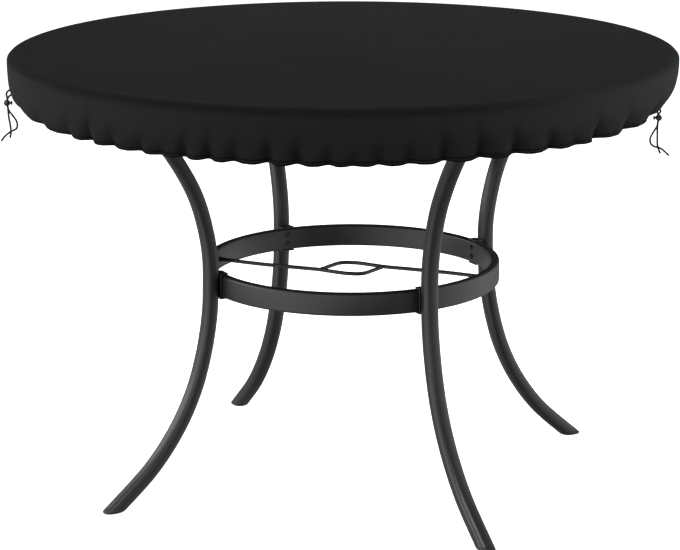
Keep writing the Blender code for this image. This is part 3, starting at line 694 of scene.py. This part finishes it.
def rim_arc(inward, first, last, count):
    angle = np.radians(np.linspace(first, last, count))
    radius = COVER_RADIUS - RIM_ARC_WIDTH + (RIM_ARC_WIDTH - inward) * np.cos(angle)
    height = COVER_TOP - RIM_ARC_HEIGHT + (RIM_ARC_HEIGHT - inward) * np.sin(angle)
    return np.stack([radius, height], axis=1)


def top_ripple(radius, angle):
    near_rim = ease((radius / COVER_RADIUS - RIPPLE["start"]) / RIPPLE["growth"])
    waves = sum(strength * np.sin(count * angle + phase) for count, phase, strength in RIPPLE_WAVES)
    return -RIPPLE["depth"] * near_rim * (1.0 + 0.5 * waves)


def make_top_panel(material):
    angles = np.linspace(0.0, 2 * math.pi, COVER_COLUMNS, endpoint=False)
    flat_end = COVER_RADIUS - RIM_ARC_WIDTH
    radii = np.concatenate([TOP_MIDDLE_RADII, np.linspace(TOP_RINGS_START, flat_end - 0.002, TOP_RINGS)])
    outer_flat = np.stack([radii, np.full(len(radii), COVER_TOP)], axis=1)
    outer_arc = rim_arc(0.0, 90.0, TOP_PANEL_END, 8)
    edge_angle = TOP_PANEL_END - TOP_EDGE["past"]
    edge = rim_arc(CLOTH * TOP_EDGE["depth"], edge_angle, edge_angle, 1)
    inner_arc = rim_arc(CLOTH * UNDERSIDE, TOP_PANEL_END, 90.0, 6)
    inner_radii = radii[::-3]
    inner_flat = np.stack([inner_radii, np.full(len(inner_radii), COVER_TOP - CLOTH * UNDERSIDE)], axis=1)
    profile = np.vstack([outer_flat, outer_arc, edge, inner_arc, inner_flat])
    radius, height = profile[:, :1], profile[:, 1:]
    lift = top_ripple(np.minimum(radius, flat_end), angles) * (radius < flat_end - 0.001)
    rings = np.stack([radius * np.cos(angles), radius * np.sin(angles), height + lift], axis=-1)
    mesh = grid_mesh("cover_top_cloth", rings, closed_ends=True)
    layer = mesh.uv_layers.new(name="cloth")
    corners = np.zeros(len(mesh.loops), np.int32)
    mesh.loops.foreach_get("vertex_index", corners)
    points = rings.reshape(-1, 3)[corners]
    layer.data.foreach_set("uv", points[:, :2].astype(np.float32).ravel())
    degrees = (np.degrees(angles) + 180.0) % 360.0 - 180.0
    # Painted shade on the rim's arc.
    keep_shade(mesh, rim_shade(COVER_TOP - height, degrees))
    piece = link(mesh, material, "cover_top")


def closer_below(line):
    """Picks the rings of the skirt's outside from a fine line, closer together near the hem."""
    steps = np.linalg.norm(np.diff(line, axis=0), axis=1)
    left = np.concatenate([np.cumsum(steps[::-1])[::-1], [0.0]])
    chosen = [0]
    for k in range(1, len(line) - 1):
        step = HEM_RING_STEP if left[k] < HEM_ZONE else RING_STEP
        if left[chosen[-1]] - left[k] >= step:
            chosen.append(k)
    return line[chosen + [len(line) - 1]]


def skirt_line():
    """The skirt's closed profile, as (radius, height) points."""
    arc = np.vstack([rim_arc(LAP_DEPTH * share, first, last, count)
                     for share, first, last, count in LAP_RINGS])
    outer = [(COVER_RADIUS - inset, COVER_TOP - drop) for inset, drop, _ in SKIRT_ROWS]
    roll = [(COVER_RADIUS - inset, COVER_TOP - drop) for inset, drop in HEM_ROLL]
    line = [tuple(arc[-1]), *outer, roll[0]]
    inner = []
    for k in range(len(outer), 0, -1):
        _, _, cloth = SKIRT_ROWS[k - 1]
        along = Vector(line[k + 1]) - Vector(line[k - 1])
        point = Vector(line[k]) - Vector((-along.y, along.x)).normalized() * cloth
        inner.append((point.x, point.y))
    straight = (COVER_RADIUS, COVER_TOP - STRAIGHT_DROP)
    outside = closer_below(smooth_line([tuple(arc[-1]), straight, *outer, roll[0]], 800))
    turned = smooth_line([*roll, inner[0]], 12)
    inner_end = rim_arc(CLOTH, 0.0, SKIRT_START, 4)
    inside = smooth_line([*inner, tuple(inner_end[0])], 14)
    return np.vstack([arc[:-1], outside, turned[1:], inside[1:], inner_end[1:]])


def near_channel(above_edge):
    """1 on the line of the hem's channel, and 0 away from it."""
    return np.exp(-((above_edge - CHANNEL_LINE["above_edge"]) / CHANNEL_LINE["half_width"]) ** 2)


def skirt_relief(degrees, leaning, levels, rise, drop, above_edge):
    """How far in the skirt's smaller shapes go: valleys, creases, tuck, channel, ridges, puckers."""
    total = VALLEY_DEPTH * valleys(leaning, VALLEY_WIDTH) * rise
    for azimuth, depth, width, reach, lean in all_small_creases():
        away = (leaning - azimuth - lean * (1.0 - levels) + 180.0) % 360.0 - 180.0
        crease_rise = ease((levels - (1.0 - reach)) / reach * CREASE_STEEPNESS)
        total += depth * np.exp(-(away / width) ** 2) * crease_rise
    tuck = ease((drop - TUCK["start"]) / (TUCK["full"] - TUCK["start"]))
    tuck *= ease((TUCK["end"] - drop) / (TUCK["end"] - TUCK["full"]))
    total += TUCK["depth"] * tuck * front_window(degrees)
    # Waves of unrelated counts keep the rest uneven round the hem.
    angles = np.radians(degrees)
    total += CHANNEL_LINE["depth"] * near_channel(above_edge) * (0.7 + 0.3 * np.sin(41 * angles))
    patchy = 0.5 + 0.5 * np.sin(9 * angles + 1.3 * np.sin(4 * angles))
    ridge_zone = ease(1.0 - above_edge / RIDGES["zone"])
    total += RIDGES["depth"] * ridge_zone * patchy * np.sin(2 * math.pi * above_edge / RIDGES["pitch"])
    near_edge = ease(1.0 - above_edge / PUCKER_FADE)
    for k, (count, depth) in enumerate(PUCKERS):
        unevenness = 0.6 + 0.4 * np.sin((11 + 6 * k) * angles + k)
        total += depth * near_edge * unevenness * np.sin(count * angles + 1.7 * np.sin((5 + 2 * k) * angles))
    return total


def make_skirt(material):
    profile = skirt_line()
    drop = COVER_TOP - profile[:, 1:]
    above_edge = drop.max() - drop
    levels = (drop - drop.min()) / (drop.max() - drop.min())
    degrees = np.linspace(-180.0, 180.0, COVER_COLUMNS, endpoint=False)
    angles = np.radians(degrees)
    across, along = np.cos(angles), np.sin(angles)

    wider = profile[:, :1] / profile[np.argmax(drop), 0] - 1.0
    lean = np.degrees(FOLD_LEAN * across * along / (along ** 2 + FOLD_LEAN_SOFTNESS))
    leaning = degrees - lean * wider
    depth, reach = fold_depths(leaning)
    rise = ease((levels - (1.0 - reach)) / reach)
    inward = depth * rise
    drops, right_in, left_out = np.array(SIDE_LEVELS).T
    pull = np.where(across > 0, np.interp(drop, drops, right_in), -np.interp(drop, drops, left_out))
    front = np.maximum(-along, 0.0) ** FRONT_DROP_POWER
    lift = inward * HEM_LIFT - FRONT_DROP * front * levels
    relief = skirt_relief(degrees, leaning, levels, rise, drop, above_edge)

    radius = profile[:, :1] - inward - pull * across ** 2 - relief
    height = profile[:, 1:] + lift
    rings = np.stack([radius * across, radius * along, height], axis=-1)
    flat = (np.append(angles, math.pi) * COVER_RADIUS, distances(np.vstack([profile, profile[:1]])))
    mesh = grid_mesh("cover_skirt_cloth", rings, uv=flat, loop=True)
    # Painted shade: darker colour in the folds' valleys, under the rim, towards the hem, and on the hem's
    # edge and channel.
    deep = valleys(leaning, SHADE_VALLEY_WIDTH, 0.5) / SHADE_FULL_DEPTH ** 0.5
    high = ease((levels - (1.0 - SHADE_REACH * reach)) / (SHADE_REACH * reach))
    shade = SHADE_VALLEY * deep * high + rim_shade(drop, degrees)
    shade += SHADE_HEM["amount"] * ease(1.0 - above_edge / SHADE_HEM["zone"])
    edge_shade = np.maximum(ease(1.5 - above_edge / SHADE_EDGE), near_channel(above_edge))
    keep_shade(mesh, np.maximum(shade, edge_shade))
    piece = link(mesh, material, "cover_skirt")


# ---- drawstring

def across_line(points):
    """Two directions square to a line of points, at each of them, that don't spin round it."""
    along = along_line(points)
    side = np.cross(along[0], (0.0, 0.0, 1.0) if abs(along[0][2]) < 0.9 else (1.0, 0.0, 0.0))
    sides = []
    for direction in along:
        side = side - direction * np.dot(side, direction)
        side = side / np.linalg.norm(side)
        sides.append(side)
    return np.array(sides), np.cross(along, sides)


def make_strand(name, material):
    """Round braid with heat-sealed, domed tips: its piece, where it leaves the hem, length, path."""
    lock = LOCKS[name.split("_")[0]]
    route = np.array(lock["place"]) + np.array(CORD_ROUTES[name]) * 0.001
    first_step = route[0] - route[1]
    into_hem = route[0] + first_step / np.linalg.norm(first_step) * CORD_IN_HEM
    path = smooth_line([tuple(into_hem), *map(tuple, route)], 80)
    length = float(distances(path)[-1])
    radius = BRAID_DIAMETER / 2
    near_tip = radius * np.array(TIP_RINGS)
    middle = np.arange(radius * 1.1, length - radius * 1.1, BRAID_STEP)
    stations = np.concatenate([near_tip, middle, (length - near_tip)[::-1]])
    points = at_distances(path, stations)
    across, over = across_line(points)
    to_end = np.minimum(np.minimum(stations, length - stations) / radius, 1.0)
    dome = np.maximum(np.sqrt(1.0 - (1.0 - to_end) ** 2), TIP_SMALLEST)
    turn = 2 * math.pi * np.arange(BRAID_SIDES) / BRAID_SIDES
    twist = 2 * math.pi * stations[:, None] / BRAID_PITCH
    ridge = np.maximum(np.sin(BRAID_CARRIERS * turn + twist), np.sin(BRAID_CARRIERS * turn - twist))
    size = (radius * dome)[:, None] * (1.0 + BRAID_RELIEF * (ridge - 1.0))
    rings = (points[:, None, :] + (size * np.cos(turn))[..., None] * across[:, None, :]
             + (size * np.sin(turn))[..., None] * over[:, None, :])
    mesh = grid_mesh("strand_" + name, rings, closed_ends=True)
    piece = link(mesh, material, "drawstring_" + name)
    return piece, route[0], length, path


def make_lock(side, material):
    """Ball body with a slot for the strands and a groove, and its side button."""
    place = Vector(LOCKS[side]["place"])
    inward = LOCKS[side]["inward"]
    centre = place - Vector((inward * LOCK_BALL_SHIFT, 0.0, 0.0))
    ball = LOCK_BALL_RADIUS
    profile = [(0.0, -ball)]
    for step in range(1, 30):
        angle = math.radians(-90.0 + 6.0 * step)
        radius, height = ball * math.cos(angle), ball * math.sin(angle)
        if abs(height - ball * LOCK_GROOVE["height"]) < ball * LOCK_GROOVE["half_width"]:
            radius -= LOCK_GROOVE["depth"]
        profile.append((radius, height))
    profile.append((0.0, ball))
    body_mesh = mesh_from(lathe(profile, 48), "lock_ball_" + side, 30.0)
    along_x = Matrix.Rotation(math.radians(90.0 * inward), 4, "Y")
    body = link(body_mesh, material, "lock_body_" + side)
    body_mesh.transform(Matrix.Translation(centre) @ along_x)

    slot = bmesh.new()
    bmesh.ops.create_cube(slot, size=1.0)
    bmesh.ops.scale(slot, vec=(LOCK_SLOT_WIDTH, LOCK_SLOT_LENGTH, ball * 4), verts=slot.verts)
    upright = [edge for edge in slot.edges if abs(edge.verts[0].co.z - edge.verts[1].co.z) > ball]
    bmesh.ops.bevel(slot, geom=upright, offset=LOCK_SLOT_WIDTH * 0.48, segments=6, affect="EDGES",
                    profile=0.5)
    cutter_mesh = mesh_from(slot, "slot_cutter_" + side)
    cutter_mesh.transform(Matrix.Translation(place))
    cutter = bpy.data.objects.new("slot_cutter_" + side, cutter_mesh)
    scene.collection.objects.link(cutter)
    cut = body.modifiers.new("slot", "BOOLEAN")
    cut.operation = "DIFFERENCE"
    cut.solver = "EXACT"
    cut.object = cutter
    apply_modifiers(body)
    bpy.data.objects.remove(cutter, do_unlink=True)
    body.data.shade_smooth()
    body.data.set_sharp_from_angle(angle=math.radians(35.0))

    reach = BUTTON_STEM + BUTTON_HEAD
    line = [(0.0, -0.0004), (BUTTON_STEM_RADIUS, -0.0004), (BUTTON_STEM_RADIUS, BUTTON_STEM),
            (BUTTON_RADIUS, BUTTON_STEM), (BUTTON_RADIUS, BUTTON_STEM + BUTTON_HEAD * 0.7),
            (BUTTON_RADIUS * 0.7, reach), (0.0, reach)]
    button_mesh = mesh_from(lathe(rounded(line, 0.0005), 40), "lock_push_" + side)
    start = centre + Vector((inward * (ball + GAP), 0.0, 0.0))
    button_mesh.transform(Matrix.Translation(start) @ along_x)
    button = link(button_mesh, material, "lock_button_" + side)
    return [body, button]


def apply_modifiers(piece):
    """Keep what the piece's modifiers make as its own mesh."""
    depsgraph = bpy.context.evaluated_depsgraph_get()
    made = bpy.data.meshes.new_from_object(piece.evaluated_get(depsgraph))
    made.name = piece.data.name
    piece.modifiers.clear()
    piece.data = made


def make_drawstrings(cord, plastic):
    for side in ("left", "right"):
        lock = make_lock(side, plastic)
        for kind in ("straight", "curved"):
            piece, exit_point, length, path = make_strand(side + "_" + kind, cord)


# ---- table

LEG_RADII, LEG_HEIGHTS = smooth_line([(radius, height) for height, radius in LEG_LINE], 400).T


def leg_place(height):
    """Distance of the leg's centre line from the frame's axis, and its slope, at a height."""
    radius = float(np.interp(height, LEG_HEIGHTS, LEG_RADII))
    step = 0.002
    slope = float(np.interp(height + step, LEG_HEIGHTS, LEG_RADII)
                  - np.interp(height - step, LEG_HEIGHTS, LEG_RADII)) / (2 * step)
    return radius, slope


def leg_ring(height, tilt=0.0, inset=0.0):
    """One ring of the leg's tube; tilt 0 is level and 1 is square to the tube."""
    radius, slope = leg_place(height)
    size = math.hypot(1.0, slope)
    angle = 2 * math.pi * (np.arange(LEG_SIDES) + 0.5) / LEG_SIDES
    power = 2.0 / LEG_SQUARENESS
    across = np.sign(np.cos(angle)) * np.abs(np.cos(angle)) ** power * (LEG_WIDTH / 2 - inset)
    outward = np.sign(np.sin(angle)) * np.abs(np.sin(angle)) ** power * (LEG_DEPTH / 2 - inset)
    level = np.stack([radius + outward * size, across, np.full(LEG_SIDES, height)], axis=1)
    square = np.stack([radius + outward / size, across, height - outward * slope / size], axis=1)
    return level * (1.0 - tilt) + square * tilt


def make_leg(name, azimuth, metal, plastic):
    turned = frame_turn(azimuth)
    top = TABLE_HEIGHT - TABLE_THICKNESS - GAP - FLANGE_THICKNESS - GAP
    rings = []
    for height in np.linspace(FOOT_HEIGHT, top, LEG_RINGS):
        tilt = min(1.0, (height - FOOT_HEIGHT) / LEG_LEVEL_ZONE, (top - height) / LEG_LEVEL_ZONE)
        rings.append(leg_ring(float(height), float(ease(tilt))))
    mesh = grid_mesh("leg_tube_" + name, np.array(rings), closed_ends=True)
    mesh.transform(turned)
    link(mesh, metal, "leg_" + name)

    cap = [leg_ring(0.0, inset=FOOT_ROUNDING)]
    for step in range(1, 7):
        angle = math.radians(15.0 * step)
        cap.append(leg_ring(FOOT_ROUNDING * (1.0 - math.cos(angle)),
                            inset=FOOT_ROUNDING * (1.0 - math.sin(angle))))
    for below, inset in CAP_RIM:
        cap.append(leg_ring(FOOT_HEIGHT - below, inset=inset))
    cap_mesh = grid_mesh("foot_cap_" + name, np.array(cap), closed_ends=True)
    cap_mesh.transform(turned)
    link(cap_mesh, plastic, "foot_" + name)

    radius, _ = leg_place(top)
    line = [(0.0, 0.0), (FLANGE_RADIUS, 0.0), (FLANGE_RADIUS, FLANGE_THICKNESS), (0.0, FLANGE_THICKNESS)]
    plate = mesh_from(lathe(rounded(line, 0.0012), 72), "leg_plate_" + name)
    plate.transform(facing(azimuth, radius, top + GAP))
    link(plate, metal, "flange_" + name)


def make_hoop(metal):
    outer, inner = HOOP_RADIUS, HOOP_RADIUS - HOOP_DEPTH
    top, bottom = HOOP_MIDDLE + HOOP_HEIGHT / 2, HOOP_MIDDLE - HOOP_HEIGHT / 2
    profile = []
    for radius, height, first in ((outer - HOOP_CORNER, top - HOOP_CORNER, 0.0),
                                  (inner + HOOP_CORNER, top - HOOP_CORNER, 90.0),
                                  (inner + HOOP_CORNER, bottom + HOOP_CORNER, 180.0),
                                  (outer - HOOP_CORNER, bottom + HOOP_CORNER, 270.0)):
        for step in range(HOOP_CORNER_POINTS):
            angle = math.radians(first + 90.0 * step / (HOOP_CORNER_POINTS - 1))
            profile.append((radius + HOOP_CORNER * math.cos(angle), height + HOOP_CORNER * math.sin(angle)))
    profile = np.array(profile)
    angles = np.linspace(0.0, 2 * math.pi, HOOP_COLUMNS, endpoint=False)
    rings = np.stack([profile[:, :1] * np.cos(angles), profile[:, :1] * np.sin(angles),
                      np.repeat(profile[:, 1:], len(angles), axis=1)], axis=-1)
    mesh = grid_mesh("hoop_tube", rings, loop=True)
    mesh.transform(frame_turn(0.0))
    link(mesh, metal, "ring_hoop")


def make_saddle(name, azimuth, metal, steel):
    """Channel between the hoop and a leg, and the two bolt heads on the hoop's inner face."""
    half = HOOP_HEIGHT / 2 + GAP
    meets = math.sin(math.radians(SADDLE_MEETS_LEG)) ** (2.0 / LEG_SQUARENESS)
    plate_out = float(LEG_RADII.min()) - LEG_DEPTH / 2 * meets - HOOP_RADIUS
    lip = SADDLE_LIP_THICKNESS
    outline = ((plate_out, half + lip), (-SADDLE_LIP, half + lip), (-SADDLE_LIP, half), (GAP, half),
               (GAP, -half), (-SADDLE_LIP, -half), (-SADDLE_LIP, -half - lip), (plate_out, -half - lip))
    shape = bmesh.new()
    corners = [shape.verts.new((x, -SADDLE_WIDTH / 2, z)) for x, z in outline]
    grown = bmesh.ops.extrude_face_region(shape, geom=[shape.faces.new(corners)])
    moved = [item for item in grown["geom"] if isinstance(item, bmesh.types.BMVert)]
    bmesh.ops.translate(shape, vec=(0.0, SADDLE_WIDTH, 0.0), verts=moved)
    mesh = mesh_from(shape, "saddle_channel_" + name)
    mesh.transform(facing(azimuth, HOOP_RADIUS, HOOP_MIDDLE))
    piece = link(mesh, metal, "saddle_" + name)
    bevel = piece.modifiers.new("edges", "BEVEL")
    bevel.width = SADDLE_BEVEL
    bevel.segments = 3
    bevel.limit_method = "ANGLE"

    seat = HOOP_RADIUS - HOOP_DEPTH
    floor = BOLT_HEAD - BOLT_SOCKET["depth"]
    line = [(0.0, -GAP), (BOLT_RADIUS, -GAP), (BOLT_RADIUS, BOLT_HEAD * BOLT_SIDE),
            (BOLT_RADIUS * BOLT_FACE, BOLT_HEAD), (BOLT_SOCKET["radius"], BOLT_HEAD),
            (BOLT_SOCKET["floor"], floor), (0.0, floor)]
    inward = Matrix.Rotation(math.radians(-90.0), 4, "Y")
    for level, side in (("upper", 0.5), ("lower", -0.5)):
        head = mesh_from(lathe(rounded(line, 0.0008), 36), "bolt_head_" + name + "_" + level)
        head.transform(facing(azimuth, seat, HOOP_MIDDLE + side * BOLT_SPACING) @ inward)
        link(head, steel, "bolt_" + name + "_" + level)


def sweep(points, radii):
    """Round tube along points in a level plane, with a radius at each."""
    up = np.array([0.0, 0.0, 1.0])
    side = np.cross(up, along_line(points))
    angle = 2 * math.pi * np.arange(ROD_SIDES) / ROD_SIDES
    return (points[:, None, :] + radii[:, None, None]
            * (np.cos(angle)[None, :, None] * side[:, None, :] + np.sin(angle)[None, :, None] * up))


def make_brace(metal):
    """Two rods, each running from the hoop's inner face and bent over to be welded to the other."""
    wall = HOOP_RADIUS - HOOP_DEPTH
    reach = math.sqrt(wall ** 2 - ROD_OFFSET ** 2)
    for name, half_turn in (("a", 0.0), ("b", 180.0)):
        route = [(-reach, -ROD_OFFSET, 0.0)] + [(along, across, 0.0) for along, across in ROD_LINE]
        points = smooth_line(route, ROD_POINTS)
        travelled = distances(points)
        radii = np.full(len(points), ROD_RADIUS)
        for (bead, length), away in ((ROD_WELD, travelled[-1] - travelled), (HOOP_WELD, travelled)):
            radii += bead * np.exp(-(away / length) ** 2)
        mesh = grid_mesh("brace_bar_" + name, sweep(points, radii), closed_ends=True)
        mesh.transform(facing(BRACE_AZIMUTH + half_turn, 0.0, BRACE_HEIGHT))
        link(mesh, metal, "brace_rod_" + name)


def dress_table_top(material):
    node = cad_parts["table_top"]
    for slot in node.material_slots:
        slot.material = material


# ---- surroundings

def make_floor():
    """Pale floor that glows, and neither lights the part nor is reflected in it."""
    shape = bmesh.new()
    bmesh.ops.create_circle(shape, cap_ends=True, segments=96, radius=FLOOR_RADIUS)
    mesh = bpy.data.meshes.new("floor")
    shape.to_mesh(mesh)
    shape.free()
    floor = bpy.data.objects.new("floor", mesh)
    scene.collection.objects.link(floor)
    finish = Finish("pale_floor")
    finish.base(Base_Color=(0.80, 0.80, 0.80, 1.0), Roughness=0.9, Specular_IOR_Level=0.0,
                Emission_Color=(1.0, 1.0, 1.0, 1.0), Emission_Strength=FLOOR_GLOW)
    mesh.materials.append(finish.material)
    floor.visible_diffuse = False
    floor.visible_glossy = False


def make_room_light():
    world = bpy.data.worlds.new("studio")
    scene.world = world
    world.use_nodes = True
    sky = Nodes(world.node_tree)
    direction = sky.node("ShaderNodeTexCoord").outputs["Generated"]
    total = 0.0
    for towards, edge, strength in SKY.values():
        ahead = sky.node("ShaderNodeVectorMath", {0: direction, 1: Vector(towards).normalized()},
                         operation="DOT_PRODUCT").outputs["Value"]
        lobe = sky.node("ShaderNodeMapRange", {"Value": ahead, "From Min": edge, "From Max": 1.0,
                                               "To Max": strength}, interpolation_type="SMOOTHSTEP")
        total = sky.math("ADD", total, lobe.outputs["Result"])
    background = sky.tree.nodes["Background"]
    sky.put(background, "Color", (1.0, 1.0, 1.0, 1.0))
    sky.put(background, "Strength", total)


def make_lamps():
    for name, place, aim, width, depth, power, use in LIGHTS:
        data = bpy.data.lights.new(name, "AREA")
        data.shape = "RECTANGLE"
        data.size, data.size_y, data.energy = width, depth, power
        lamp = bpy.data.objects.new(name, data)
        lamp.visible_diffuse = use == "light"
        lamp.visible_glossy = use == "gloss"
        lamp.visible_camera = False
        lamp.location = place
        lamp.rotation_euler = (Vector(aim) - Vector(place)).to_track_quat("-Z", "Y").to_euler()
        scene.collection.objects.link(lamp)


# ---- build

make_camera()
scene.view_settings.view_transform = "Standard"
make_drawstrings(cord_material(), plastic_material("lock_black"))
cloth = cloth_material()
make_top_panel(cloth)
make_skirt(cloth)
powder_coat = metal_material("powder_coat_black")
bolt_black = metal_material("bolt_black")
foot_black = plastic_material("foot_cap_black")
for leg_name, leg_azimuth in LEG_AZIMUTHS.items():
    make_leg(leg_name, leg_azimuth, powder_coat, foot_black)
    make_saddle(leg_name, leg_azimuth, powder_coat, bolt_black)
make_hoop(powder_coat)
make_brace(powder_coat)
dress_table_top(metal_material("table_top_black"))
make_floor()
make_room_light()
make_lamps()
